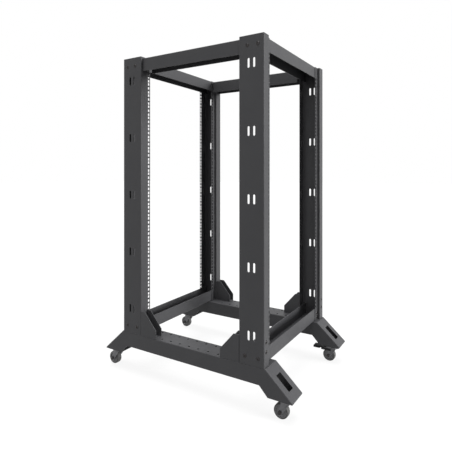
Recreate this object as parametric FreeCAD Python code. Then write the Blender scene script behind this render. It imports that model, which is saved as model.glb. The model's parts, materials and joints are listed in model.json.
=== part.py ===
import FreeCAD, Part
import math
import os

# Four post open frame rack, 22 units, folded black steel on two base beams with swivel casters.
# X runs front to rear through the rack (front is +X), Y across the 19 inch opening (left is -Y),
# Z is up and the floor is Z = 0. The origin is on the floor below the middle of the overall length,
# casters included, which lies a little behind the middle of the four posts.

# ---- Driving dimensions (mm) ----
rack_units = 22
unit_height = 44.45
unit_hole_heights = (6.35, 22.225, 38.1)
square_hole = 9.5
panel_opening = 450.0
hole_column_spacing = 465.1

rack_depth = 616.0
rack_width = 580.0
post_depth = 92.0
outer_flange = 38.0
flange_step = 11.0
post_sheet = 2.0
post_bend = 1.5

slot_width = 8.0
slot_length = 32.0
slot_spacing = 20.5
slot_levels = 5
slot_pitch = 5 * unit_height

base_top = 162.0
base_width = 84.0
base_sheet = 2.5
base_bend = 3.0
beam_height = 56.0
foot_underside = 74.0
foot_reach = 404.0
foot_lip = 5.0
foot_slope_start = 312.0
foot_flat_start = 320.0
arch_end = 290.0
base_hole = 9.0
base_hole_pitch = 41.4
base_hole_rows = 52.0
base_holes_per_row = 9
foot_window_length = 60.0
foot_window_width = 31.0
foot_window_start = 35.0

rail_sheet = 2.0
top_rail_height = 46.0
side_rail_height = 50.0
side_rail_drop = 5.0
side_rail_inset = 10.0
bottom_rail_height = 50.0
bottom_rail_gap = 1.6

gusset_sheet = 2.5
gusset_length = 74.0
gusset_width = 34.0
gusset_height = 91.0
gusset_toe = 31.0
gusset_top = 21.0

caster_x = 373.0
caster_trail = 22.0
wheel_radius = 25.0
wheel_width = 20.0
tyre_chamfer = 2.0
rim_radius = 20.0
rim_lip = 3.0
web_sunk = 3.5
hub_radius = 8.0
hub_play = 0.5
axle_radius = 4.0
axle_head_radius = 6.5
axle_head = 3.0
axle_end = 1.0
fork_gap = 28.0
fork_sheet = 2.5
leg_front = 6.0
leg_foot_half = 7.0
leg_foot_drop = 8.0
leg_flange = 5.0
crown_underside = 58.0
crown_top = 62.7
crown_radius = 20.0
race_radius = 19.0
race_underside = 63.0
caster_plate_sheet = 3.0
caster_plate_size = 56.0
kingpin_radius = 5.0
kingpin_head_radius = 8.0
kingpin_head = 3.0
kingpin_head_gap = 0.3
kingpin_clearance = 1.0
running_gap = 0.05
pedal_back = 18.0
pedal_pin_z = 51.0
pedal_pin_radius = 2.5
pedal_ear_radius = 5.0
pedal_barrel_radius = 4.0
pedal_length = 46.0
pedal_arm_width = 12.0
pedal_tread_length = 18.0
pedal_tread_width = 26.0
pedal_tread_corner = 5.0
pedal_sheet = 4.0

# ---- Derived positions ----
bottom_rail_top = base_top + bottom_rail_height
unit_floor = bottom_rail_top + bottom_rail_gap
unit_ceiling = unit_floor + rack_units * unit_height
post_top = unit_ceiling + top_rail_height
post_x = rack_depth / 2 - post_depth / 2
half_post = post_depth / 2
half_neck = half_post - flange_step
half_width = rack_width / 2
mount_depth = half_width - panel_opening / 2
beam_y = half_width - base_width / 2
beam_underside = base_top - beam_height
rear_reach = caster_x + caster_trail + wheel_radius
posts_forward = (rear_reach - foot_reach) / 2

ENDS = (("front", 1), ("rear", -1))
SIDES = (("left", -1), ("right", 1))
BRAKED = ("front_right",)


def vec(x, y, z):
    return FreeCAD.Vector(x, y, z)


def save(name, shape):
    """Write one sub-part, drawn about the middle of the posts, as a single clean STEP file."""
    os.makedirs("parts", exist_ok=True)
    placed = shape.removeSplitter()
    placed.translate(vec(posts_forward, 0, 0))
    placed.exportStep("parts/" + name + ".step")


# ---- Folded sheet metal ----
def directions(points):
    """Unit direction of each stretch of a polyline."""
    result = []
    for (ax, ay), (bx, by) in zip(points, points[1:]):
        length = math.hypot(bx - ax, by - ay)
        result.append(((bx - ax) / length, (by - ay) / length))
    return result


def shifted(points, distance):
    """The polyline moved sideways to its left, with its corners kept sharp."""
    ways = directions(points)
    result = []
    for index, (x, y) in enumerate(points):
        before = ways[max(index - 1, 0)]
        after = ways[min(index, len(ways) - 1)]
        nx = -before[1] - after[1]
        ny = before[0] + after[0]
        scale = distance / (1 + before[0] * after[0] + before[1] * after[1])
        result.append((x + nx * scale, y + ny * scale))
    return result


def rounded_edges(points, radii, place):
    """Edges along a polyline with an arc of its own radius at each corner."""
    ways = directions(points)
    edges = []
    start = place(*points[0])
    for index in range(1, len(points) - 1):
        (ax, ay), (bx, by) = ways[index - 1], ways[index]
        x, y = points[index]
        half_turn = math.acos(max(-1.0, min(1.0, ax * bx + ay * by))) / 2
        tangent = radii[index] * math.tan(half_turn)
        sag = radii[index] * (1 / math.cos(half_turn) - 1)
        inward = math.hypot(bx - ax, by - ay)
        first = place(x - ax * tangent, y - ay * tangent)
        middle = place(x + (bx - ax) / inward * sag, y + (by - ay) / inward * sag)
        last = place(x + bx * tangent, y + by * tangent)
        edges.append(Part.makeLine(start, first))
        edges.append(Part.Arc(first, middle, last).toShape())
        start = last
    edges.append(Part.makeLine(start, place(*points[-1])))
    return edges


def folded_face(points, sheet, bend, place):
    """Section of a sheet folded along a polyline: metal lies on the left, bend is the inner radius."""
    ways = directions(points)
    near = [0.0]
    far = [0.0]
    for (ax, ay), (bx, by) in zip(ways, ways[1:]):
        turns_left = ax * by - ay * bx > 0
        near.append(bend + sheet if turns_left else bend)
        far.append(bend if turns_left else bend + sheet)
    near.append(0.0)
    far.append(0.0)
    other = shifted(points, sheet)
    edges = rounded_edges(points, near, place)
    edges.append(Part.makeLine(place(*points[-1]), place(*other[-1])))
    edges += rounded_edges(other[::-1], far[::-1], place)
    edges.append(Part.makeLine(place(*other[0]), place(*points[0])))
    return Part.Face(Part.Wire(Part.__sortEdges__(edges)))


def plate(points, place, thickness):
    """Flat plate of a given outline, thickened by a vector."""
    corners = [place(*point) for point in points]
    return Part.Face(Part.makePolygon(corners + corners[:1])).extrude(thickness)


def slot(x, z, width, length, depth_start, depth_end):
    """Upright slot with round ends, cut along Y."""
    half = (length - width) / 2
    body = Part.makeBox(width, depth_end - depth_start, 2 * half, vec(x - width / 2, depth_start, z - half))
    for end in (-half, half):
        body = body.fuse(Part.makeCylinder(width / 2, depth_end - depth_start,
                                           vec(x, depth_start, z + end), vec(0, 1, 0)))
    return body.removeSplitter()


# ---- Uprights ----
def upright(x_sign, y_sign):
    """Post: wide web outside, an outer flange on each side, a step inwards, then the punched flange.

    The front posts take equipment on their front face only, so their inner flange stops at the step.
    """
    centre_x = x_sign * post_x
    outline = [(-half_post, outer_flange), (-half_post, 0), (half_post, 0), (half_post, outer_flange),
               (half_neck, outer_flange), (half_neck, mount_depth)]
    if x_sign < 0:
        outline = [(-half_neck, mount_depth), (-half_neck, outer_flange)] + outline

    def place(along, inward):
        return vec(centre_x + along, y_sign * (half_width - inward), base_top)

    post = folded_face(outline, post_sheet, post_bend, place).extrude(vec(0, 0, post_top - base_top))
    column_y = y_sign * hole_column_spacing / 2
    square_holes = []
    for unit in range(rack_units):
        for height in unit_hole_heights:
            z = unit_floor + unit * unit_height + height
            square_holes.append(Part.makeBox(post_depth, square_hole, square_hole,
                                             vec(centre_x - half_post, column_y - square_hole / 2,
                                                 z - square_hole / 2)))
    post = post.cut(Part.makeCompound(square_holes))
    web_y = y_sign * half_width
    middle = (unit_floor + unit_ceiling) / 2
    slots = []
    for level in range(slot_levels):
        z = middle + (level - (slot_levels - 1) / 2) * slot_pitch
        for side in (-1, 1):
            slots.append(slot(centre_x + side * slot_spacing / 2, z, slot_width, slot_length,
                              web_y - 2 * post_sheet, web_y + 2 * post_sheet))
    return post.cut(Part.makeCompound(slots))


# ---- Cross rails ----
def channel_between(points, sheet, place, run):
    """Straight folded channel: section placed at one end and run along a vector."""
    return folded_face(points, sheet, post_bend, place).extrude(run)


def front_rail(x_sign, low, height, opens_down):
    """Rail across the opening, set between the punched flanges of one pair of posts."""
    half = half_neck - post_sheet
    edge_z = low if opens_down else low + height
    fold_z = low + height if opens_down else low
    outline = [(-half, edge_z), (-half, fold_z), (half, fold_z), (half, edge_z)]
    if opens_down:
        outline.reverse()

    def place(along, z):
        return vec(x_sign * post_x + along, -half_width + post_sheet, z)

    return channel_between(outline, rail_sheet, place, vec(0, rack_width - 2 * post_sheet, 0))


def side_rail(y_sign):
    """Top rail from front post to rear post on one side, open below."""
    outer = half_width - side_rail_inset
    inner = panel_opening / 2
    high = post_top - side_rail_drop
    low = high - side_rail_height
    outline = [(inner, low), (inner, high), (outer, high), (outer, low)]
    outline.reverse()
    reach = post_x - half_post

    def place(across, z):
        return vec(-reach, y_sign * across, z)

    return channel_between(outline, rail_sheet, place, vec(2 * reach, 0, 0))


# ---- Base beams ----
def is_long_bend(edge):
    """True for the edges where the top and slopes of a beam fold down into its sides."""
    ends = [vertex.Point for vertex in edge.Vertexes]
    along = abs(ends[0].x - ends[1].x) > base_bend
    return along and max(end.z for end in ends) > base_top - base_sheet


def base_beam(y_sign):
    """Folded beam with its feet: top and sides in one sheet, sloped ends with a window, open below."""
    side_outline = [(-arch_end, beam_underside), (-foot_flat_start, foot_underside),
                    (-foot_reach, foot_underside), (-foot_reach, foot_underside + foot_lip),
                    (-foot_slope_start, base_top), (foot_slope_start, base_top),
                    (foot_reach, foot_underside + foot_lip), (foot_reach, foot_underside),
                    (foot_flat_start, foot_underside), (arch_end, beam_underside)]

    def outside(along, z):
        return vec(along, y_sign * beam_y - base_width / 2, z)

    body = plate(side_outline, outside, vec(0, base_width, 0))
    body = body.makeFillet(base_bend, [edge for edge in body.Edges if is_long_bend(edge)])
    core_outline = [(-arch_end, beam_underside - beam_height), (-foot_reach, foot_underside - beam_height),
                    (-foot_reach + base_sheet, foot_underside + foot_lip),
                    (-foot_slope_start, base_top - base_sheet), (foot_slope_start, base_top - base_sheet),
                    (foot_reach - base_sheet, foot_underside + foot_lip),
                    (foot_reach, foot_underside - beam_height), (arch_end, beam_underside - beam_height)]

    def inside(along, z):
        return vec(along, y_sign * beam_y - base_width / 2 + base_sheet, z)

    beam = body.cut(plate(core_outline, inside, vec(0, base_width - 2 * base_sheet, 0)))
    holes = []
    for row in (-1, 1):
        for number in range(base_holes_per_row):
            x = (number - (base_holes_per_row - 1) / 2) * base_hole_pitch
            y = y_sign * beam_y + row * base_hole_rows / 2
            holes.append(Part.makeCylinder(base_hole / 2, 4 * base_sheet,
                                           vec(x, y, base_top - 2 * base_sheet)))
    slope = math.atan2(base_top - foot_underside - foot_lip, foot_reach - foot_slope_start)
    for x_sign in (-1, 1):
        window = Part.makeBox(foot_window_length, foot_window_width, 8 * base_sheet,
                              vec(foot_window_start, -foot_window_width / 2, -4 * base_sheet))
        window.rotate(vec(0, 0, 0), vec(0, 1, 0), math.degrees(slope))
        if x_sign < 0:
            window.rotate(vec(0, 0, 0), vec(0, 0, 1), 180)
        window.translate(vec(x_sign * foot_slope_start, y_sign * beam_y, base_top))
        holes.append(window)
    return beam.cut(Part.makeCompound(holes))


def foot_plate(x_sign, y_sign):
    """Floor of one foot, which carries the caster."""
    length = foot_reach - base_sheet - foot_flat_start
    width = base_width - 2 * base_sheet
    x = x_sign * (foot_flat_start + length / 2) - length / 2
    floor = Part.makeBox(length, width, caster_plate_sheet,
                         vec(x, y_sign * beam_y - width / 2, foot_underside))
    bore = Part.makeCylinder(kingpin_radius + kingpin_clearance, 4 * caster_plate_sheet,
                             vec(x_sign * caster_x, y_sign * beam_y, foot_underside - caster_plate_sheet))
    return floor.cut(bore)


# ---- Gussets ----
def gusset(x_sign, y_sign):
    """Folded bracket in the corner between post and beam: two cheeks, a floor and a back."""
    outer = half_width
    inner = half_width - gusset_width
    root = post_x - half_post

    def at_outer(along, up):
        return vec(x_sign * (root - along), y_sign * outer, base_top + up)

    def at_inner(along, up):
        return vec(x_sign * (root - along), y_sign * (inner + gusset_sheet), base_top + up)

    cheek = [(0, 0), (gusset_length, 0), (gusset_length, gusset_toe),
             (gusset_top, gusset_height), (0, gusset_height)]
    inward = vec(0, -y_sign * gusset_sheet, 0)
    pieces = [plate(cheek, at_outer, inward), plate(cheek, at_inner, inward)]
    low_y = min(y_sign * outer, y_sign * inner)
    floor_x = min(x_sign * root, x_sign * (root - gusset_length))
    pieces.append(Part.makeBox(gusset_length, gusset_width, gusset_sheet, vec(floor_x, low_y, base_top)))
    back_x = min(x_sign * root, x_sign * (root - gusset_sheet))
    pieces.append(Part.makeBox(gusset_sheet, gusset_width, gusset_height, vec(back_x, low_y, base_top)))
    return pieces[0].multiFuse(pieces[1:])


# ---- Casters ----
def caster_plate(x, y):
    """Fixed part of a caster: top plate, ball race and kingpin."""
    size = caster_plate_size
    low = crown_underside - kingpin_head_gap - kingpin_head
    top = Part.makeBox(size, size, caster_plate_sheet,
                       vec(x - size / 2, y - size / 2, foot_underside - caster_plate_sheet))
    race = Part.makeCylinder(race_radius, foot_underside - race_underside, vec(x, y, race_underside))
    pin = Part.makeCylinder(kingpin_radius, foot_underside - low, vec(x, y, low))
    head = Part.makeCylinder(kingpin_head_radius, kingpin_head, vec(x, y, low))
    return top.multiFuse([race, pin, head])


def caster_fork(x, y, braked):
    """Swivel fork: round crown and two legs that lean back to the axle, flanged along the front."""
    axle_x = x - caster_trail
    outer = fork_gap / 2 + fork_sheet
    front = x + leg_front
    foot_z = wheel_radius - leg_foot_drop / 2
    shoulder_z = crown_underside - leg_front
    pin_x = axle_x - pedal_back
    crown = Part.makeCylinder(crown_radius, crown_top - crown_underside, vec(x, y, crown_underside))
    pieces = [Part.makeBox(crown_radius + leg_front, 2 * outer, crown_top - crown_underside,
                           vec(x - crown_radius, y - outer, crown_underside))]
    leg = [(x - crown_radius, crown_top), (front, crown_top), (front, shoulder_z),
           (axle_x + leg_foot_half, foot_z), (axle_x + leg_foot_half / 2, wheel_radius - leg_foot_drop),
           (axle_x - leg_foot_half / 2, wheel_radius - leg_foot_drop), (axle_x - leg_foot_half, foot_z),
           (x - crown_radius, shoulder_z)]
    flange_end_z = wheel_radius + axle_head_radius
    lean = (front - axle_x - leg_foot_half) / (shoulder_z - foot_z)
    flange_end = axle_x + leg_foot_half + lean * (flange_end_z - foot_z)
    flange = [(front, shoulder_z), (flange_end, flange_end_z),
              (flange_end - fork_sheet, flange_end_z), (front - fork_sheet, shoulder_z)]
    ear = [(x - crown_radius, crown_top), (x - crown_radius, pedal_pin_z - pedal_ear_radius),
           (pin_x - pedal_ear_radius / 2, pedal_pin_z - pedal_ear_radius),
           (pin_x - pedal_ear_radius, pedal_pin_z - pedal_ear_radius / 2),
           (pin_x - pedal_ear_radius, pedal_pin_z + pedal_ear_radius / 2)]
    for side in (-1, 1):
        low_y = y + (fork_gap / 2 if side > 0 else -outer)
        flange_y = y + (outer if side > 0 else -outer - leg_flange)

        def on_leg(along, up):
            return vec(along, low_y, up)

        def beside_leg(along, up):
            return vec(along, flange_y, up)

        pieces.append(plate(leg, on_leg, vec(0, fork_sheet, 0)))
        pieces.append(plate(flange, beside_leg, vec(0, leg_flange, 0)))
        if braked:
            pieces.append(plate(ear, on_leg, vec(0, fork_sheet, 0)))
    if braked:
        pieces.append(Part.makeCylinder(pedal_pin_radius, 2 * outer, vec(pin_x, y - outer, pedal_pin_z),
                                        vec(0, 1, 0)))
    fork = crown.multiFuse(pieces)
    bores = [Part.makeCylinder(kingpin_radius + running_gap, crown_radius,
                               vec(x, y, crown_underside - crown_radius / 2)),
             Part.makeCylinder(axle_radius + running_gap, 4 * outer, vec(axle_x, y - 2 * outer, wheel_radius),
                               vec(0, 1, 0))]
    return fork.cut(Part.makeCompound(bores))


def brake_pedal(x, y):
    """Brake pedal: a lever with a wide tread, on a barrel that turns on the pin between the ears."""
    pin_x = x - caster_trail - pedal_back
    axis = vec(0, 1, 0)
    length = fork_gap - 2 * hub_play
    barrel = Part.makeCylinder(pedal_barrel_radius, length, vec(pin_x, y - length / 2, pedal_pin_z), axis)
    low = pedal_pin_z - pedal_sheet / 2
    arm = Part.makeBox(pedal_length - pedal_tread_corner, pedal_arm_width, pedal_sheet,
                       vec(pin_x - pedal_length + pedal_tread_corner, y - pedal_arm_width / 2, low))
    far = pin_x - pedal_length
    half = pedal_tread_width / 2
    cut = pedal_tread_corner
    tread_outline = [(far, -half + cut), (far + cut, -half), (far + pedal_tread_length - cut, -half),
                     (far + pedal_tread_length, -pedal_arm_width / 2),
                     (far + pedal_tread_length, pedal_arm_width / 2),
                     (far + pedal_tread_length - cut, half), (far + cut, half), (far, half - cut)]

    def flat(along, across):
        return vec(along, y + across, low)

    tread = plate(tread_outline, flat, vec(0, 0, pedal_sheet))
    bore = Part.makeCylinder(pedal_pin_radius + running_gap, 2 * length,
                             vec(pin_x, y - length, pedal_pin_z), axis)
    return barrel.multiFuse([arm, tread]).cut(bore)


def caster_axle(x, y):
    """Axle bolt through fork and wheel, with a head on each side."""
    outer = fork_gap / 2 + fork_sheet
    axis = vec(0, 1, 0)
    shaft = Part.makeCylinder(axle_radius, 2 * (outer + axle_end),
                              vec(x - caster_trail, y - outer - axle_end, wheel_radius), axis)
    heads = [Part.makeCylinder(axle_head_radius, axle_head,
                               vec(x - caster_trail, y + start, wheel_radius), axis)
             for start in (-outer - axle_head, outer)]
    return shaft.multiFuse(heads)


def caster_wheel(x, y):
    """Wheel centre under the tyre: rim, web sunk on both sides, and hub."""
    axis = vec(0, 1, 0)
    centre_x = x - caster_trail
    half_rim = wheel_width / 2
    half_hub = fork_gap / 2 - hub_play
    rim = Part.makeCylinder(rim_radius, wheel_width, vec(centre_x, y - half_rim, wheel_radius), axis)
    hub = Part.makeCylinder(hub_radius, 2 * half_hub, vec(centre_x, y - half_hub, wheel_radius), axis)
    recesses = []
    for start in (-half_rim, half_rim - web_sunk):
        place = vec(centre_x, y + start, wheel_radius)
        recess = Part.makeCylinder(rim_radius - rim_lip, web_sunk, place, axis)
        recesses.append(recess.cut(Part.makeCylinder(hub_radius, web_sunk, place, axis)))
    bore = Part.makeCylinder(axle_radius + running_gap, 2 * fork_gap,
                             vec(centre_x, y - fork_gap, wheel_radius), axis)
    return rim.fuse(hub).cut(Part.makeCompound(recesses + [bore]))


def caster_tyre(x, y):
    """Tyre around the wheel centre."""
    axis = vec(0, 1, 0)
    low = vec(x - caster_trail, y - wheel_width / 2, wheel_radius)
    ring = Part.makeCylinder(wheel_radius, wheel_width, low, axis)
    ring = ring.makeChamfer(tyre_chamfer, [edge for edge in ring.Edges if edge.Closed])
    return ring.cut(Part.makeCylinder(rim_radius, wheel_width, low, axis))


# ---- Build ----
for end, x_sign in ENDS:
    for side, y_sign in SIDES:
        corner = end + "_" + side
        save("post_" + corner, upright(x_sign, y_sign))
        save("gusset_" + corner, gusset(x_sign, y_sign))
        save("foot_plate_" + corner, foot_plate(x_sign, y_sign))
        place_x = x_sign * caster_x
        place_y = y_sign * beam_y
        save("caster_plate_" + corner, caster_plate(place_x, place_y))
        save("caster_fork_" + corner, caster_fork(place_x, place_y, corner in BRAKED))
        save("caster_axle_" + corner, caster_axle(place_x, place_y))
        save("caster_wheel_" + corner, caster_wheel(place_x, place_y))
        save("caster_tyre_" + corner, caster_tyre(place_x, place_y))
        if corner in BRAKED:
            save("brake_pedal_" + corner, brake_pedal(place_x, place_y))
    save("top_rail_" + end, front_rail(x_sign, unit_ceiling, top_rail_height, True))
    save("bottom_rail_" + end, front_rail(x_sign, base_top, bottom_rail_height, False))
for side, y_sign in SIDES:
    save("top_rail_" + side, side_rail(y_sign))
    save("base_beam_" + side, base_beam(y_sign))
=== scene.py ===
import bpy, bmesh, json, math
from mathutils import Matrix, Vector

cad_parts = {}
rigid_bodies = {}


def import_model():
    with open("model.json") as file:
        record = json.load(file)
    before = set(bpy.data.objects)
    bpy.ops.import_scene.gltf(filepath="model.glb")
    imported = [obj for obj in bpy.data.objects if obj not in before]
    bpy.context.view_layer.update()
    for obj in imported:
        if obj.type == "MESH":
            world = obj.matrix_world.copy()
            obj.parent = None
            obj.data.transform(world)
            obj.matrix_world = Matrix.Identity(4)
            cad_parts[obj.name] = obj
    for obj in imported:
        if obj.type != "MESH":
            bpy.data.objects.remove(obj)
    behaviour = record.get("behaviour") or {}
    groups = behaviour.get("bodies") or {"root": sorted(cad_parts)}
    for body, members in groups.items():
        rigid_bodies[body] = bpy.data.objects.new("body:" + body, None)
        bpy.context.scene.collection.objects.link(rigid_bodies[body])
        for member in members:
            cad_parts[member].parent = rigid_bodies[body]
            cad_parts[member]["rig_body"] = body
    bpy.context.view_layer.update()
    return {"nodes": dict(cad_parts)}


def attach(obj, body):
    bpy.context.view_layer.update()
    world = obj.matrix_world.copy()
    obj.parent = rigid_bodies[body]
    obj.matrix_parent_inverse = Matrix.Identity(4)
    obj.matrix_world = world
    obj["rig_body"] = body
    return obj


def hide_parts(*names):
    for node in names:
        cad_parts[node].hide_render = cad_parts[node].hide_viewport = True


# An open frame rack for 19 inch equipment, put together from folded and powder coated steel.
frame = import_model()
nodes = frame["nodes"]

# ---- Base beams and feet ----
# Each beam is one long tray of 2.5 mm steel with a foot folded down at each end and a floor welded
# into the foot. The welded beam is powder coated satin black and baked, so the film is even, a
# little thinner on the sharp edges, and has the faint orange peel of a baked powder.
MM = 0.001
CORNERS = {"front_left": (1, -1), "front_right": (1, 1), "rear_left": (-1, -1), "rear_right": (-1, 1)}
POWDER_BLACK = "#424244"
POWDER_BLACK_THICK = "#3E3E40"
POWDER_BLACK_EDGE = "#525254"
POWDER_GLOSS = (0.45, 0.52)
POWDER_IOR = 1.5
POWDER_SHINE = 0.25
FILM_CLOUD_MM = 70.0
FILM_CLOUD_REACH = (0.3, 0.7)
EDGE_FILM_MM = 0.8
EDGE_TURN = (0.98, 0.80)
EDGE_THINNING = 0.75
# A real peel is 1 to 2 mm across. It is drawn coarser here, so that it shows on the whole rack.
PEEL_WAVE_MM = 3.4
PEEL_DEPTH_MM = 0.3
PEEL_STRENGTH = 0.5


def linear(colour):
    """sRGB hex to the linear colour that a shader takes."""
    channels = [int(colour[i:i + 2], 16) / 255 for i in (1, 3, 5)]
    return tuple(c / 12.92 if c <= 0.04045 else ((c + 0.055) / 1.055) ** 2.4 for c in channels) + (1.0,)


def add_node(tree, kind, inputs=None, **settings):
    """Adds a node with its settings; each input takes a number, a colour or another node's output."""
    made = tree.nodes.new(kind)
    for name, value in settings.items():
        setattr(made, name, value)
    for name, value in (inputs or {}).items():
        if isinstance(value, bpy.types.NodeSocket):
            tree.links.new(value, made.inputs[name])
        else:
            made.inputs[name].default_value = value
    return made


def new_material(name):
    """An empty node material and its tree."""
    material = bpy.data.materials.new(name)
    material.use_nodes = True
    material.node_tree.nodes.clear()
    return material, material.node_tree


def powder_coat(name):
    """Baked polyester powder on steel: satin, very slightly cloudy, paler on edges, with orange peel."""
    material, tree = new_material(name)
    place = add_node(tree, "ShaderNodeTexCoord").outputs["Object"]
    cloud = add_node(tree, "ShaderNodeTexNoise", {"Vector": place, "Scale": 1 / (FILM_CLOUD_MM * MM),
                                                  "Detail": 3.0, "Roughness": 0.55})
    film = add_node(tree, "ShaderNodeMix", {"Factor": cloud.outputs["Fac"], "A": linear(POWDER_BLACK),
                                            "B": linear(POWDER_BLACK_THICK)}, data_type="RGBA")
    rounded = add_node(tree, "ShaderNodeBevel", {"Radius": EDGE_FILM_MM * MM}, samples=4)
    flat = add_node(tree, "ShaderNodeNewGeometry").outputs["Normal"]
    turn = add_node(tree, "ShaderNodeVectorMath", {0: rounded.outputs["Normal"], 1: flat},
                    operation="DOT_PRODUCT")
    at_edge = add_node(tree, "ShaderNodeMapRange", {"Value": turn.outputs["Value"],
                                                    "From Min": EDGE_TURN[0], "From Max": EDGE_TURN[1],
                                                    "To Min": 0.0, "To Max": EDGE_THINNING})
    colour = add_node(tree, "ShaderNodeMix", {"Factor": at_edge.outputs["Result"],
                                              "A": film.outputs["Result"],
                                              "B": linear(POWDER_BLACK_EDGE)}, data_type="RGBA")
    peel = add_node(tree, "ShaderNodeTexNoise", {"Vector": place, "Scale": 1 / (PEEL_WAVE_MM * MM),
                                                 "Detail": 2.0, "Roughness": 0.5})
    bump = add_node(tree, "ShaderNodeBump", {"Height": peel.outputs["Fac"], "Strength": PEEL_STRENGTH,
                                             "Distance": PEEL_DEPTH_MM * MM,
                                             "Normal": rounded.outputs["Normal"]})
    gloss = add_node(tree, "ShaderNodeMapRange", {"Value": cloud.outputs["Fac"],
                                                  "From Min": FILM_CLOUD_REACH[0],
                                                  "From Max": FILM_CLOUD_REACH[1],
                                                  "To Min": POWDER_GLOSS[0], "To Max": POWDER_GLOSS[1]})
    surface = add_node(tree, "ShaderNodeBsdfPrincipled", {"Base Color": colour.outputs["Result"],
                                                          "Roughness": gloss.outputs["Result"],
                                                          "Normal": bump.outputs["Normal"]})
    surface.inputs["IOR"].default_value = POWDER_IOR
    surface.inputs["Specular IOR Level"].default_value = POWDER_SHINE
    add_node(tree, "ShaderNodeOutputMaterial", {"Surface": surface.outputs["BSDF"]})
    return material


def finish(piece, material):
    """Gives a piece one material all over."""
    if not piece.material_slots:
        piece.data.materials.append(material)
    for held in piece.material_slots:
        held.material = material


powder_coated_sheet = powder_coat("satin_black_powder_coat")
for side in ("left", "right"):
    finish(nodes["base_beam_" + side], powder_coated_sheet)
for corner in CORNERS:
    finish(nodes["foot_plate_" + corner], powder_coated_sheet)

# ---- Uprights, rails and gussets ----
# The uprights are roll formed from 2 mm steel and punched before they are coated. The rails are
# folded channels that hook between them, and the gussets are folded brackets that brace each post
# on its beam. All of them hang on the same coating line as the beams and have the same satin black.
for corner in CORNERS:
    finish(nodes["post_" + corner], powder_coated_sheet)
    finish(nodes["gusset_" + corner], powder_coated_sheet)
for end in ("front", "rear"):
    finish(nodes["top_rail_" + end], powder_coated_sheet)
    finish(nodes["bottom_rail_" + end], powder_coated_sheet)
for side in ("left", "right"):
    finish(nodes["top_rail_" + side], powder_coated_sheet)

# ---- Button head screws ----
# M6 button head screws join the posts to the rails and beams. They are cold headed steel with a
# black oxide finish and a hexagon socket, and each is turned to wherever it came tight.
BUTTON_HEAD = {"Head Radius": 6.6, "Head Height": 2.2, "Socket Width": 4.6, "Socket Depth": 1.3}
BUTTON_SEGMENTS = 24
BUTTON_RINGS = 12
OXIDE_BLACK = "#3A3A3C"
OXIDE_BROWN = "#332F2D"
OXIDE_GLOSS = (0.20, 0.28)
OXIDE_STAIN_MM = 9.0
OXIDE_GRAIN_MM = 0.6
OXIDE_GRAIN_DEPTH_MM = 0.05
OXIDE_GRAIN_STRENGTH = 0.15
# The places below are measured from the middle of the posts, which is this far ahead of the middle
# of the overall length.
POSTS_AT_X = 8.0
POST_X = 262.0
POST_END_X = 308.0
WEB_Y = 290.0
TOP_SCREW_Z = 1205.5
TOP_SCREWS_FROM_END = (22.0, 61.0)
BEAM_SCREW_Z = 190.0
BEAM_SCREW_APART = 48.0
FLANGE_SCREW_Y = 273.0
FLANGE_SCREW_HEIGHTS = (210.0, 242.0)
NECK_FACE_X = 297.0
NECK_SCREW_Y = 243.0
NECK_SCREW_HEIGHTS = (172.0, 190.0)
TURN_SEED = 7


def black_oxide(name):
    """Hot blackened steel: dark, lightly oiled, with a breath of brown in places."""
    material, tree = new_material(name)
    place = add_node(tree, "ShaderNodeTexCoord").outputs["Object"]
    stain = add_node(tree, "ShaderNodeTexNoise", {"Vector": place, "Scale": 1 / (OXIDE_STAIN_MM * MM),
                                                  "Detail": 4.0})
    colour = add_node(tree, "ShaderNodeMix", {"Factor": stain.outputs["Fac"], "A": linear(OXIDE_BLACK),
                                              "B": linear(OXIDE_BROWN)}, data_type="RGBA")
    grain = add_node(tree, "ShaderNodeTexNoise", {"Vector": place, "Scale": 1 / (OXIDE_GRAIN_MM * MM),
                                                  "Detail": 2.0})
    bump = add_node(tree, "ShaderNodeBump", {"Height": grain.outputs["Fac"],
                                             "Strength": OXIDE_GRAIN_STRENGTH,
                                             "Distance": OXIDE_GRAIN_DEPTH_MM * MM})
    gloss = add_node(tree, "ShaderNodeMapRange", {"Value": stain.outputs["Fac"],
                                                  "To Min": OXIDE_GLOSS[0], "To Max": OXIDE_GLOSS[1]})
    surface = add_node(tree, "ShaderNodeBsdfPrincipled", {"Base Color": colour.outputs["Result"],
                                                          "Roughness": gloss.outputs["Result"],
                                                          "Normal": bump.outputs["Normal"]})
    surface.inputs["Metallic"].default_value = 1.0
    add_node(tree, "ShaderNodeOutputMaterial", {"Surface": surface.outputs["BSDF"]})
    return material


def head_tree(name, sizes):
    """A tree that takes points, with an input for each size in mm, the seed and the material."""
    tree = bpy.data.node_groups.new(name, "GeometryNodeTree")
    tree.is_modifier = True
    inputs = [("Geometry", "NodeSocketGeometry", None)]
    inputs += [(size_name, "NodeSocketFloat", size * MM) for size_name, size in sizes.items()]
    inputs += [("Seed", "NodeSocketInt", TURN_SEED), ("Material", "NodeSocketMaterial", None)]
    for input_name, kind, value in inputs:
        socket = tree.interface.new_socket(name=input_name, in_out="INPUT", socket_type=kind)
        if value is not None:
            socket.default_value = value
    tree.interface.new_socket(name="Geometry", in_out="OUTPUT", socket_type="NodeSocketGeometry")
    return tree, add_node(tree, "NodeGroupInput").outputs


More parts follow.
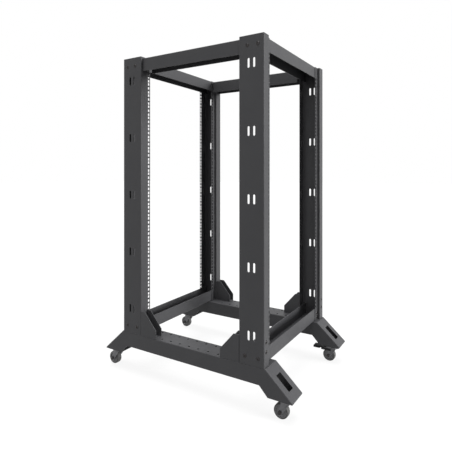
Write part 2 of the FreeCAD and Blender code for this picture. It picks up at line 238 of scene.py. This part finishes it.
def set_on_points(tree, given, head):
    """Ends a tree: the head on each point, turned to the point's facing, spun at random, made real."""
    facing = add_node(tree, "GeometryNodeInputNamedAttribute", {"Name": "facing"},
                      data_type="FLOAT_VECTOR")
    upright = add_node(tree, "FunctionNodeAlignRotationToVector", {"Vector": facing.outputs["Attribute"]},
                       axis="Z")
    chance = add_node(tree, "FunctionNodeRandomValue", {"Seed": given["Seed"]}, data_type="FLOAT")
    angle = add_node(tree, "ShaderNodeMath", {0: chance.outputs[1], 1: math.tau}, operation="MULTIPLY")
    spin = add_node(tree, "ShaderNodeCombineXYZ", {"Z": angle.outputs["Value"]})
    turn = add_node(tree, "FunctionNodeRotateRotation", {"Rotation": upright.outputs["Rotation"]},
                    rotation_space="LOCAL")
    tree.links.new(spin.outputs["Vector"], turn.inputs["Rotate By"])
    placed = add_node(tree, "GeometryNodeInstanceOnPoints", {"Points": given["Geometry"], "Instance": head,
                                                             "Rotation": turn.outputs["Rotation"]})
    real = add_node(tree, "GeometryNodeRealizeInstances", {"Geometry": placed.outputs["Instances"]})
    coloured = add_node(tree, "GeometryNodeSetMaterial", {"Geometry": real.outputs["Geometry"],
                                                          "Material": given["Material"]})
    add_node(tree, "NodeGroupOutput", {"Geometry": coloured.outputs["Geometry"]})


def button_screw_tree():
    """A domed head on a flat underside with a hexagon socket, one for each point."""
    tree, given = head_tree("button_head_screws", BUTTON_HEAD)
    ball = add_node(tree, "GeometryNodeMeshUVSphere", {"Segments": BUTTON_SEGMENTS, "Rings": BUTTON_RINGS,
                                                       "Radius": 1.0})
    size = add_node(tree, "ShaderNodeCombineXYZ", {"X": given["Head Radius"], "Y": given["Head Radius"],
                                                   "Z": given["Head Height"]})
    flattened = add_node(tree, "GeometryNodeTransform", {"Geometry": ball.outputs["Mesh"],
                                                         "Scale": size.outputs["Vector"]})
    place = add_node(tree, "GeometryNodeInputPosition").outputs["Position"]
    point = add_node(tree, "ShaderNodeSeparateXYZ", {"Vector": place})
    above = add_node(tree, "ShaderNodeMath", {0: point.outputs["Z"], 1: 0.0}, operation="MAXIMUM")
    seat = add_node(tree, "ShaderNodeCombineXYZ", {"X": point.outputs["X"], "Y": point.outputs["Y"],
                                                   "Z": above.outputs["Value"]})
    dome = add_node(tree, "GeometryNodeSetPosition", {"Geometry": flattened.outputs["Geometry"],
                                                      "Position": seat.outputs["Vector"]})
    corner = add_node(tree, "ShaderNodeMath", {0: given["Socket Width"], 1: math.sqrt(3)},
                      operation="DIVIDE")
    depth = add_node(tree, "ShaderNodeMath", {0: given["Socket Depth"], 1: 2.0}, operation="MULTIPLY")
    key = add_node(tree, "GeometryNodeMeshCylinder", {"Vertices": 6, "Radius": corner.outputs["Value"],
                                                      "Depth": depth.outputs["Value"]})
    lift = add_node(tree, "ShaderNodeCombineXYZ", {"Z": given["Head Height"]})
    raised = add_node(tree, "GeometryNodeTransform", {"Geometry": key.outputs["Mesh"],
                                                      "Translation": lift.outputs["Vector"]})
    head = add_node(tree, "GeometryNodeMeshBoolean", {"Mesh 1": dome.outputs["Geometry"],
                                                      "Mesh 2": raised.outputs["Geometry"]},
                    operation="DIFFERENCE")
    set_on_points(tree, given, head.outputs["Mesh"])
    return tree


def stood_in_scene(name, data):
    """A new object at the origin, linked to the scene."""
    made = bpy.data.objects.new(name, data)
    bpy.context.scene.collection.objects.link(made)
    return made


def made_plain(piece):
    """Turns what a piece's modifiers make of it into its plain mesh."""
    bpy.context.view_layer.update()
    made = bpy.data.meshes.new_from_object(piece.evaluated_get(bpy.context.evaluated_depsgraph_get()))
    piece.modifiers.clear()
    piece.data = made
    made.name = piece.name


def grown_on_points(name, spots, tree, sizes, material):
    """Grows heads of the given sizes on spots, each (place in mm about the posts, facing)."""
    middle = Vector((POSTS_AT_X * MM, 0, 0))
    seed = bpy.data.meshes.new(name + "_spots")
    seed.from_pydata([Vector(place) * MM + middle for place, facing in spots], [], [])
    facings = seed.attributes.new("facing", "FLOAT_VECTOR", "POINT")
    for held, (place, facing) in zip(facings.data, spots):
        held.vector = facing
    piece = stood_in_scene(name, seed)
    growth = piece.modifiers.new(name, "NODES")
    growth.node_group = tree
    for item in tree.interface.items_tree:
        if item.in_out == "INPUT" and item.name in sizes:
            growth[item.identifier] = sizes[item.name] * MM
        elif item.in_out == "INPUT" and item.name == "Material":
            growth[item.identifier] = material
    made_plain(piece)
    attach(piece, "frame")


screw_spots = []
for end, side in CORNERS.values():
    outwards = (0, side, 0)
    for inset in TOP_SCREWS_FROM_END:
        screw_spots.append(((end * (POST_END_X - inset), side * WEB_Y, TOP_SCREW_Z), outwards))
    for half in (-1, 1):
        along = end * POST_X + half * BEAM_SCREW_APART / 2
        screw_spots.append(((along, side * WEB_Y, BEAM_SCREW_Z), outwards))
    for height in NECK_SCREW_HEIGHTS:
        screw_spots.append(((end * NECK_FACE_X, side * NECK_SCREW_Y, height), (end, 0, 0)))
    for height in FLANGE_SCREW_HEIGHTS:
        screw_spots.append(((end * POST_END_X, side * FLANGE_SCREW_Y, height), (end, 0, 0)))
blackened_steel = black_oxide("black_oxide_screw")
grown_on_points("button_head_screws", screw_spots, button_screw_tree(), BUTTON_HEAD, blackened_steel)

# ---- Hexagon bolts, nuts and washers ----
# M8 hexagon bolts hold the gussets down on the beams, and M6 ones hold each caster plate to the
# floor of its foot. They are forged, blackened like the screws, and sit on punched washers.
GUSSET_BOLT = {"Across Flats": 13.0, "Head Height": 5.3, "Washer Radius": 8.0, "Washer Height": 1.5,
               "Thread Radius": 4.0, "Thread Stands": 2.5}
PLATE_BOLT = {"Across Flats": 10.0, "Head Height": 4.0, "Washer Radius": 6.0, "Washer Height": 1.2,
              "Thread Radius": 3.0, "Thread Stands": 0.6}
HEAD_POINTS = 24
HEAD_LAYERS = 5
CHAMFER_ABOVE_MIDDLE = 0.4
CHAMFERED_SHARE = 0.94
WASHER_POINTS = 28
THREAD_POINTS = 16
GUSSET_BOLTS_X = (165.0, 195.0)
GUSSET_BOLT_Y = 273.5
GUSSET_FLOOR_Z = 164.5
CASTER_X = 373.0
CASTER_Y = 248.0
PLATE_BOLT_ALONG = 17.0
PLATE_BOLT_ACROSS = 21.0
FOOT_FLOOR_TOP = 77.0
PLATE_UNDERSIDE = 71.0


def hexagon_bolt_tree():
    """A chamfered hexagon on a washer with the end of the thread standing out, one for each point."""
    tree, given = head_tree("hexagon_bolts", GUSSET_BOLT)
    # The hexagon is a cylinder whose points go out to the flats: at an angle from the middle of a
    # flat, its radius is half the width across flats over the cosine. The top ring is the chamfer.
    blank = add_node(tree, "GeometryNodeMeshCylinder", {"Vertices": HEAD_POINTS,
                                                        "Side Segments": HEAD_LAYERS, "Radius": 1.0,
                                                        "Depth": given["Head Height"]})
    place = add_node(tree, "GeometryNodeInputPosition").outputs["Position"]
    point = add_node(tree, "ShaderNodeSeparateXYZ", {"Vector": place})
    angle = add_node(tree, "ShaderNodeMath", {0: point.outputs["Y"], 1: point.outputs["X"]},
                     operation="ARCTAN2")
    from_flat = add_node(tree, "ShaderNodeMath", {0: angle.outputs["Value"], 1: math.pi / 6,
                                                  2: -math.pi / 6}, operation="WRAP")
    share = add_node(tree, "ShaderNodeMath", {0: from_flat.outputs["Value"]}, operation="COSINE")
    half_across = add_node(tree, "ShaderNodeMath", {0: given["Across Flats"], 1: 0.5}, operation="MULTIPLY")
    hexagon = add_node(tree, "ShaderNodeMath", {0: half_across.outputs["Value"], 1: share.outputs["Value"]},
                       operation="DIVIDE")
    chamfered = add_node(tree, "ShaderNodeMath", {0: half_across.outputs["Value"], 1: CHAMFERED_SHARE},
                         operation="MULTIPLY")
    near_top = add_node(tree, "ShaderNodeMath", {0: given["Head Height"], 1: CHAMFER_ABOVE_MIDDLE},
                        operation="MULTIPLY")
    on_top = add_node(tree, "ShaderNodeMath", {0: point.outputs["Z"], 1: near_top.outputs["Value"]},
                      operation="GREATER_THAN")
    radius = add_node(tree, "ShaderNodeMix", {"Factor": on_top.outputs["Value"],
                                              "A": hexagon.outputs["Value"],
                                              "B": chamfered.outputs["Value"]}, data_type="FLOAT")
    outwards = add_node(tree, "ShaderNodeCombineXYZ", {"X": radius.outputs["Result"],
                                                       "Y": radius.outputs["Result"], "Z": 1.0})
    moved = add_node(tree, "ShaderNodeVectorMath", {0: place, 1: outwards.outputs["Vector"]},
                     operation="MULTIPLY")
    forged = add_node(tree, "GeometryNodeSetPosition", {"Geometry": blank.outputs["Mesh"],
                                                        "Position": moved.outputs["Vector"]})
    middle = add_node(tree, "ShaderNodeMath", {0: given["Head Height"], 1: 0.5, 2: given["Washer Height"]},
                      operation="MULTIPLY_ADD")
    up = add_node(tree, "ShaderNodeCombineXYZ", {"Z": middle.outputs["Value"]})
    head = add_node(tree, "GeometryNodeTransform", {"Geometry": forged.outputs["Geometry"],
                                                    "Translation": up.outputs["Vector"]})
    disc = add_node(tree, "GeometryNodeMeshCylinder", {"Vertices": WASHER_POINTS,
                                                       "Radius": given["Washer Radius"],
                                                       "Depth": given["Washer Height"]})
    half_washer = add_node(tree, "ShaderNodeMath", {0: given["Washer Height"], 1: 0.5}, operation="MULTIPLY")
    seat = add_node(tree, "ShaderNodeCombineXYZ", {"Z": half_washer.outputs["Value"]})
    washer = add_node(tree, "GeometryNodeTransform", {"Geometry": disc.outputs["Mesh"],
                                                      "Translation": seat.outputs["Vector"]})
    top = add_node(tree, "ShaderNodeMath", {0: given["Head Height"], 1: given["Washer Height"]})
    length = add_node(tree, "ShaderNodeMath", {0: top.outputs["Value"], 1: given["Thread Stands"]})
    shank = add_node(tree, "GeometryNodeMeshCylinder", {"Vertices": THREAD_POINTS,
                                                        "Radius": given["Thread Radius"],
                                                        "Depth": length.outputs["Value"]})
    half_length = add_node(tree, "ShaderNodeMath", {0: length.outputs["Value"], 1: 0.5},
                           operation="MULTIPLY")
    along = add_node(tree, "ShaderNodeCombineXYZ", {"Z": half_length.outputs["Value"]})
    thread = add_node(tree, "GeometryNodeTransform", {"Geometry": shank.outputs["Mesh"],
                                                      "Translation": along.outputs["Vector"]})
    whole = add_node(tree, "GeometryNodeJoinGeometry")
    for part in (head, washer, thread):
        tree.links.new(part.outputs["Geometry"], whole.inputs["Geometry"])
    set_on_points(tree, given, whole.outputs["Geometry"])
    return tree


bolt_tree = hexagon_bolt_tree()
gusset_spots = []
plate_spots = []
for end, side in CORNERS.values():
    for x in GUSSET_BOLTS_X:
        gusset_spots.append(((end * x, side * GUSSET_BOLT_Y, GUSSET_FLOOR_Z), (0, 0, 1)))
    for along in (-PLATE_BOLT_ALONG, PLATE_BOLT_ALONG):
        for across in (-PLATE_BOLT_ACROSS, PLATE_BOLT_ACROSS):
            spot = (end * CASTER_X + along, side * CASTER_Y + across)
            plate_spots.append((spot + (FOOT_FLOOR_TOP,), (0, 0, 1)))
            plate_spots.append((spot + (PLATE_UNDERSIDE,), (0, 0, -1)))
grown_on_points("gusset_bolts", gusset_spots, bolt_tree, GUSSET_BOLT, blackened_steel)
grown_on_points("caster_plate_bolts", plate_spots, bolt_tree, PLATE_BOLT, blackened_steel)

# ---- Caster plates and forks ----
# Pressed steel parts with the soft edges of a press tool, plated in black zinc, which is smoother
# than the powder and shows faint clouds from the bath. The plate is bolted under the foot, and the
# fork turns below it on a ball race.
ZINC_BLACK = "#7C7C80"
ZINC_BLACK_DEEP = "#6C6C6E"
ZINC_GLOSS = (0.32, 0.48)
ZINC_IOR = 1.5
BATH_CLOUD_MM = 14.0
ZINC_GRAIN_MM = 0.8
ZINC_GRAIN_DEPTH_MM = 0.05
ZINC_GRAIN_STRENGTH = 0.1
PRESSED_EDGE_MM = 0.7
EDGE_STEPS = 3
SHARP_FROM_DEGREES = 40
FLAT_WITHIN_DEGREES = 3
SAME_POINT_MM = 0.01


def black_zinc(name):
    """Black passivated zinc: smooth, low satin, slightly uneven."""
    material, tree = new_material(name)
    place = add_node(tree, "ShaderNodeTexCoord").outputs["Object"]
    bath = add_node(tree, "ShaderNodeTexNoise", {"Vector": place, "Scale": 1 / (BATH_CLOUD_MM * MM),
                                                 "Detail": 4.0, "Roughness": 0.6, "Distortion": 0.6})
    colour = add_node(tree, "ShaderNodeMix", {"Factor": bath.outputs["Fac"], "A": linear(ZINC_BLACK),
                                              "B": linear(ZINC_BLACK_DEEP)}, data_type="RGBA")
    grain = add_node(tree, "ShaderNodeTexNoise", {"Vector": place, "Scale": 1 / (ZINC_GRAIN_MM * MM),
                                                  "Detail": 2.0})
    bump = add_node(tree, "ShaderNodeBump", {"Height": grain.outputs["Fac"],
                                             "Strength": ZINC_GRAIN_STRENGTH,
                                             "Distance": ZINC_GRAIN_DEPTH_MM * MM})
    gloss = add_node(tree, "ShaderNodeMapRange", {"Value": bath.outputs["Fac"],
                                                  "To Min": ZINC_GLOSS[0], "To Max": ZINC_GLOSS[1]})
    surface = add_node(tree, "ShaderNodeBsdfPrincipled", {"Base Color": colour.outputs["Result"],
                                                          "Roughness": gloss.outputs["Result"],
                                                          "Normal": bump.outputs["Normal"]})
    surface.inputs["IOR"].default_value = ZINC_IOR
    add_node(tree, "ShaderNodeOutputMaterial", {"Surface": surface.outputs["BSDF"]})
    return material


def softened(node_name, edge_mm, material):
    """A copy of a solid with its points joined up and its sharp edges rounded, in place of it."""
    source = nodes[node_name]
    work = bmesh.new()
    work.from_mesh(source.data)
    bmesh.ops.remove_doubles(work, verts=work.verts, dist=SAME_POINT_MM * MM)
    bmesh.ops.dissolve_limit(work, angle_limit=math.radians(FLAT_WITHIN_DEGREES), verts=work.verts,
                             edges=work.edges)
    bmesh.ops.recalc_face_normals(work, faces=work.faces)
    mesh = bpy.data.meshes.new(node_name + "_soft")
    work.to_mesh(mesh)
    work.free()
    mesh.shade_smooth()
    piece = stood_in_scene(node_name + "_soft", mesh)
    rounding = piece.modifiers.new("rounded_edges", "BEVEL")
    rounding.width = edge_mm * MM
    rounding.segments = EDGE_STEPS
    rounding.limit_method = "ANGLE"
    rounding.angle_limit = math.radians(SHARP_FROM_DEGREES)
    rounding.harden_normals = True
    finish(piece, material)
    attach(piece, source["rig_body"])
    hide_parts(node_name)


zinc_plated = black_zinc("black_zinc_plate")
for corner in CORNERS:
    softened("caster_fork_" + corner, PRESSED_EDGE_MM, zinc_plated)
    softened("caster_plate_" + corner, PRESSED_EDGE_MM, zinc_plated)

# ---- Axles ----
# Each wheel turns on a through bolt, a turned steel pin with a head at each end. It is blackened
# like the screws and is held in the legs of the fork.
AXLE_EDGE_MM = 0.6
for corner in CORNERS:
    softened("caster_axle_" + corner, AXLE_EDGE_MM, blackened_steel)

# ---- Wheels and tyres ----
# The wheel centre is moulded nylon with a sunk web between rim and hub, and a solid polyurethane
# tyre is cast round it. The tyre is dull, with rounded shoulders and a thin mould line in the middle.
WHEEL_RADIUS = 25.0
CASTER_TRAIL = 22.0
WHEEL_STEPS = 72
WHEEL_SHARP_FROM_DEGREES = 50
NYLON_BLACK = "#737375"
NYLON_BLACK_LOW = "#69696A"
NYLON_GLOSS = (0.42, 0.52)
NYLON_FLOW_MM = 12.0
NYLON_SKIN_MM = 0.7
TYRE_BLACK = "#454546"
TYRE_DUST = "#525150"
TYRE_GLOSS = (0.62, 0.74)
TYRE_FLOW_MM = 8.0
TYRE_SKIN_MM = 0.5
POLYMER_IOR = 1.52
POLYMER_SHINE = 0.5
POLYMER_SKIN_DEPTH_MM = 0.06
POLYMER_SKIN_STRENGTH = 0.2
# Half sections from the middle of the wheel to its side: radius, and distance from the middle.
TYRE_HALF = ((25.0, 0.15), (24.85, 0.35), (24.93, 4.0), (24.8, 7.2), (24.4, 8.5), (23.6, 9.5),
             (22.4, 10.0), (20.6, 10.0), (20.0, 9.6))
CENTRE_HALF = ((20.0, 9.6), (19.6, 10.0), (17.6, 10.0), (17.1, 9.5), (16.8, 7.0), (16.2, 6.5),
               (8.6, 6.5), (8.0, 7.2), (8.0, 13.2), (7.7, 13.5), (4.35, 13.5), (4.05, 13.2))


def moulded(name, colour, low_colour, gloss, flow_mm, skin_mm, shine):
    """A moulded polymer: even colour with a faint flow pattern and a fine matt skin."""
    material, tree = new_material(name)
    place = add_node(tree, "ShaderNodeTexCoord").outputs["Object"]
    flow = add_node(tree, "ShaderNodeTexNoise", {"Vector": place, "Scale": 1 / (flow_mm * MM),
                                                 "Detail": 3.0})
    mixed = add_node(tree, "ShaderNodeMix", {"Factor": flow.outputs["Fac"], "A": linear(colour),
                                             "B": linear(low_colour)}, data_type="RGBA")
    skin = add_node(tree, "ShaderNodeTexVoronoi", {"Vector": place, "Scale": 1 / (skin_mm * MM)})
    bump = add_node(tree, "ShaderNodeBump", {"Height": skin.outputs["Distance"],
                                             "Strength": POLYMER_SKIN_STRENGTH,
                                             "Distance": POLYMER_SKIN_DEPTH_MM * MM})
    sheen = add_node(tree, "ShaderNodeMapRange", {"Value": flow.outputs["Fac"], "To Min": gloss[0],
                                                  "To Max": gloss[1]})
    surface = add_node(tree, "ShaderNodeBsdfPrincipled", {"Base Color": mixed.outputs["Result"],
                                                          "Roughness": sheen.outputs["Result"],
                                                          "Normal": bump.outputs["Normal"]})
    surface.inputs["IOR"].default_value = POLYMER_IOR
    surface.inputs["Specular IOR Level"].default_value = shine
    add_node(tree, "ShaderNodeOutputMaterial", {"Surface": surface.outputs["BSDF"]})
    return material


def turned_round_axle(name, half_section, x, y, material, body, node_name):
    """A half section, mirrored and turned round the axle, in place of its solid."""
    section = [(radius, -across) for radius, across in reversed(half_section)] + list(half_section)
    work = bmesh.new()
    rings = []
    for step in range(WHEEL_STEPS):
        angle = math.tau * step / WHEEL_STEPS
        rings.append([work.verts.new(((x + radius * math.cos(angle)) * MM, (y + across) * MM,
                                      (WHEEL_RADIUS + radius * math.sin(angle)) * MM))
                      for radius, across in section])
    for ring, following in zip(rings, rings[1:] + rings[:1]):
        for index in range(len(section)):
            after = (index + 1) % len(section)
            work.faces.new((ring[index], ring[after], following[after], following[index]))
    bmesh.ops.recalc_face_normals(work, faces=work.faces)
    mesh = bpy.data.meshes.new(name)
    work.to_mesh(mesh)
    work.free()
    mesh.shade_smooth()
    mesh.set_sharp_from_angle(angle=math.radians(WHEEL_SHARP_FROM_DEGREES))
    piece = stood_in_scene(name, mesh)
    finish(piece, material)
    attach(piece, body)
    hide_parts(node_name)


moulded_nylon = moulded("moulded_nylon", NYLON_BLACK, NYLON_BLACK_LOW, NYLON_GLOSS, NYLON_FLOW_MM,
                        NYLON_SKIN_MM, POLYMER_SHINE)
cast_tyre = moulded("cast_polyurethane_tyre", TYRE_BLACK, TYRE_DUST, TYRE_GLOSS, TYRE_FLOW_MM,
                    TYRE_SKIN_MM, POLYMER_SHINE)
for corner, (end, side) in CORNERS.items():
    wheel_x = end * CASTER_X - CASTER_TRAIL + POSTS_AT_X
    wheel_y = side * CASTER_Y
    turned_round_axle("tyre_" + corner, TYRE_HALF, wheel_x, wheel_y, cast_tyre, "wheel_" + corner,
                      "caster_tyre_" + corner)
    turned_round_axle("wheel_centre_" + corner, CENTRE_HALF, wheel_x, wheel_y, moulded_nylon,
                      "wheel_" + corner, "caster_wheel_" + corner)

# ---- Brake pedal ----
# One caster can be locked. A steel lever is pinned between the ears of the fork, and glass filled
# nylon, blacker and duller than the wheel, is moulded over its end as a thick tread and carried
# forwards as two arms that lie along the legs of the fork.
PEDAL_EDGE_MM = 1.0
PEDAL_BLACK = "#161617"
PEDAL_BLACK_LOW = "#1C1C1D"
PEDAL_GLOSS = (0.52, 0.62)
PEDAL_FLOW_MM = 10.0
PEDAL_SKIN_MM = 0.9
PEDAL_SHINE = 0.2
PIN_BEHIND_AXLE = 18.0
# Lengths are measured forwards from the pin, and heights from the floor.
TREAD_ALONG = (-47.0, -20.0)
TREAD_HALF = 14.5
TREAD_HEIGHTS = (46.5, 55.0)
GRIP_RIBS_ALONG = (-43.0, -37.0, -31.0, -25.0)
GRIP_RIB_WIDTH = 2.6
GRIP_RIB_INSET = 1.5
GRIP_RIB_TOP = 56.4
NECK_HALF = 8.0
NECK_HEIGHTS = (47.5, 54.0)
BRIDGE_ALONG = (-12.0, -6.5)
ARM_INSIDE = 17.2
ARM_OUTSIDE = 19.0
ARM_ALONG = (-12.0, 28.5)
ARM_HEIGHTS = (46.0, 57.0)
ARM_END_HEIGHTS = (46.0, 53.5)
# Blocks run this far into each other, so that none of their faces fall together.
BLOCK_OVERLAP = 1.0
COVER_VOXEL_MM = 0.6
COVER_SMOOTHING = 6
COVER_SMOOTHING_SHARE = 0.5


def pedal_cover(name, pin_x, middle_y, material):
    """Tread, neck, bridge and arms of the cover, run together and softened as a moulding is."""
    work = bmesh.new()

    def block(along, across, heights, end_heights=None):
        near, far = ((pin_x + distance) * MM for distance in along)
        low, high = ((middle_y + distance) * MM for distance in across)
        ends = ((near, heights), (far, end_heights or heights))
        corners = [work.verts.new((x, y, z * MM)) for x, (base, top) in ends
                   for y, z in ((low, base), (high, base), (high, top), (low, top))]
        for sides in ((0, 1, 2, 3), (4, 5, 6, 7), (0, 1, 5, 4), (1, 2, 6, 5), (2, 3, 7, 6), (3, 0, 4, 7)):
            work.faces.new([corners[index] for index in sides])

    block(TREAD_ALONG, (-TREAD_HALF, TREAD_HALF), TREAD_HEIGHTS)
    rib_half = TREAD_HALF - GRIP_RIB_INSET
    for rib in GRIP_RIBS_ALONG:
        block((rib - GRIP_RIB_WIDTH / 2, rib + GRIP_RIB_WIDTH / 2), (-rib_half, rib_half),
              (TREAD_HEIGHTS[0] + BLOCK_OVERLAP, GRIP_RIB_TOP))
    block((TREAD_ALONG[1] - BLOCK_OVERLAP, BRIDGE_ALONG[0] + BLOCK_OVERLAP), (-NECK_HALF, NECK_HALF),
          NECK_HEIGHTS)
    block(BRIDGE_ALONG, (-ARM_OUTSIDE, ARM_OUTSIDE), NECK_HEIGHTS)
    for side in (-1, 1):
        block(ARM_ALONG, sorted((side * ARM_INSIDE, side * ARM_OUTSIDE)), ARM_HEIGHTS, ARM_END_HEIGHTS)
    bmesh.ops.recalc_face_normals(work, faces=work.faces)
    rough = bpy.data.meshes.new(name + "_blocks")
    work.to_mesh(rough)
    work.free()
    piece = stood_in_scene(name, rough)
    joined = piece.modifiers.new("joined", "REMESH")
    joined.mode = "VOXEL"
    joined.voxel_size = COVER_VOXEL_MM * MM
    softer = piece.modifiers.new("softer", "SMOOTH")
    softer.factor = COVER_SMOOTHING_SHARE
    softer.iterations = COVER_SMOOTHING
    made_plain(piece)
    piece.data.shade_smooth()
    finish(piece, material)
    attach(piece, "pedal_front_right")


pedal_nylon = moulded("moulded_pedal_nylon", PEDAL_BLACK, PEDAL_BLACK_LOW, PEDAL_GLOSS, PEDAL_FLOW_MM,
                      PEDAL_SKIN_MM, PEDAL_SHINE)
softened("brake_pedal_front_right", PEDAL_EDGE_MM, pedal_nylon)
pin_x = CASTER_X - CASTER_TRAIL - PIN_BEHIND_AXLE + POSTS_AT_X
pedal_cover("brake_pedal_cover", pin_x, CASTER_Y, pedal_nylon)

# ---- Floor, light and camera ----
# The rack stands on a plain pale floor. A low soft light comes from its front, a weak broad one
# from its left side and a soft one from above, with a dim even light all round. The floor and the
# surroundings look white to the eye and in reflections.
FLOOR_PALE = "#FCFCFC"
FLOOR_DIM = "#7A7A7A"
FLOOR_HALF = 30.0
FLOOR_GLOW = 0.88
SURROUND_DIM = 0.25
WHITE = (1, 1, 1, 1)
# Name, strength, spread in degrees, and the direction that the light comes from.
LIGHTS = (("key", 3.45, 24.0, (0.93, 0.28, 0.24)),
          ("fill", 0.9, 100.0, (0.0, -0.90, 0.28)),
          ("top", 3.5, 40.0, (0.0, -0.05, 1.0)))
EYE_AT = (0.9063, -1.50286, 0.78804)
EYE_UPRIGHT = 90.0
EYE_TURN = 32.213
EYE_SENSOR = 36.0
EYE_LENS = 33.502
EYE_SHIFT = (0.0179, -0.1173)


def seen_or_mirrored(tree):
    """1 for camera, glossy and transmission rays, and 0 for the light that bounces."""
    path = add_node(tree, "ShaderNodeLightPath")
    glossy = add_node(tree, "ShaderNodeMath", {0: path.outputs["Is Camera Ray"],
                                               1: path.outputs["Is Glossy Ray"]}, operation="MAXIMUM")
    through = add_node(tree, "ShaderNodeMath", {0: glossy.outputs["Value"],
                                                1: path.outputs["Is Transmission Ray"]},
                       operation="MAXIMUM")
    return through.outputs["Value"]


pale_floor, floor_tree = new_material("pale_floor")
seen = seen_or_mirrored(floor_tree)
floor_colour = add_node(floor_tree, "ShaderNodeMix", {"Factor": seen, "A": linear(FLOOR_DIM),
                                                      "B": linear(FLOOR_PALE)}, data_type="RGBA")
floor_matt = add_node(floor_tree, "ShaderNodeBsdfDiffuse", {"Color": floor_colour.outputs["Result"]})
floor_white = add_node(floor_tree, "ShaderNodeEmission", {"Color": WHITE, "Strength": 1.0})
glow = add_node(floor_tree, "ShaderNodeMath", {0: seen, 1: FLOOR_GLOW}, operation="MULTIPLY")
floor_shade = add_node(floor_tree, "ShaderNodeMixShader", {"Fac": glow.outputs["Value"],
                                                           1: floor_matt.outputs["BSDF"],
                                                           2: floor_white.outputs["Emission"]})
add_node(floor_tree, "ShaderNodeOutputMaterial", {"Surface": floor_shade.outputs["Shader"]})
floor_mesh = bpy.data.meshes.new("floor")
floor_mesh.from_pydata([(-FLOOR_HALF, -FLOOR_HALF, 0), (FLOOR_HALF, -FLOOR_HALF, 0),
                        (FLOOR_HALF, FLOOR_HALF, 0), (-FLOOR_HALF, FLOOR_HALF, 0)], [], [(0, 1, 2, 3)])
floor = stood_in_scene("floor", floor_mesh)
finish(floor, pale_floor)

surround = bpy.data.worlds.new("surround")
bpy.context.scene.world = surround
surround.use_nodes = True
sky_tree = surround.node_tree
sky_tree.nodes.clear()
dim = add_node(sky_tree, "ShaderNodeBackground", {"Color": WHITE, "Strength": SURROUND_DIM})
white = add_node(sky_tree, "ShaderNodeBackground", {"Color": WHITE, "Strength": 1.0})
sky = add_node(sky_tree, "ShaderNodeMixShader", {"Fac": seen_or_mirrored(sky_tree),
                                                 1: dim.outputs["Background"],
                                                 2: white.outputs["Background"]})
add_node(sky_tree, "ShaderNodeOutputWorld", {"Surface": sky.outputs["Shader"]})

for light_name, strength, spread, direction in LIGHTS:
    light = bpy.data.lights.new(light_name, "SUN")
    light.energy = strength
    light.angle = math.radians(spread)
    lamp = stood_in_scene(light_name, light)
    lamp.rotation_euler = Vector(direction).to_track_quat("Z", "Y").to_euler()

eye = bpy.data.cameras.new("eye")
eye.sensor_width = EYE_SENSOR
eye.lens = EYE_LENS
eye.shift_x, eye.shift_y = EYE_SHIFT
eye_stand = stood_in_scene("eye", eye)
eye_stand.location = EYE_AT
eye_stand.rotation_euler = (math.radians(EYE_UPRIGHT), 0, math.radians(EYE_TURN))
bpy.context.scene.camera = eye_stand
bpy.context.scene.view_settings.view_transform = "Standard"
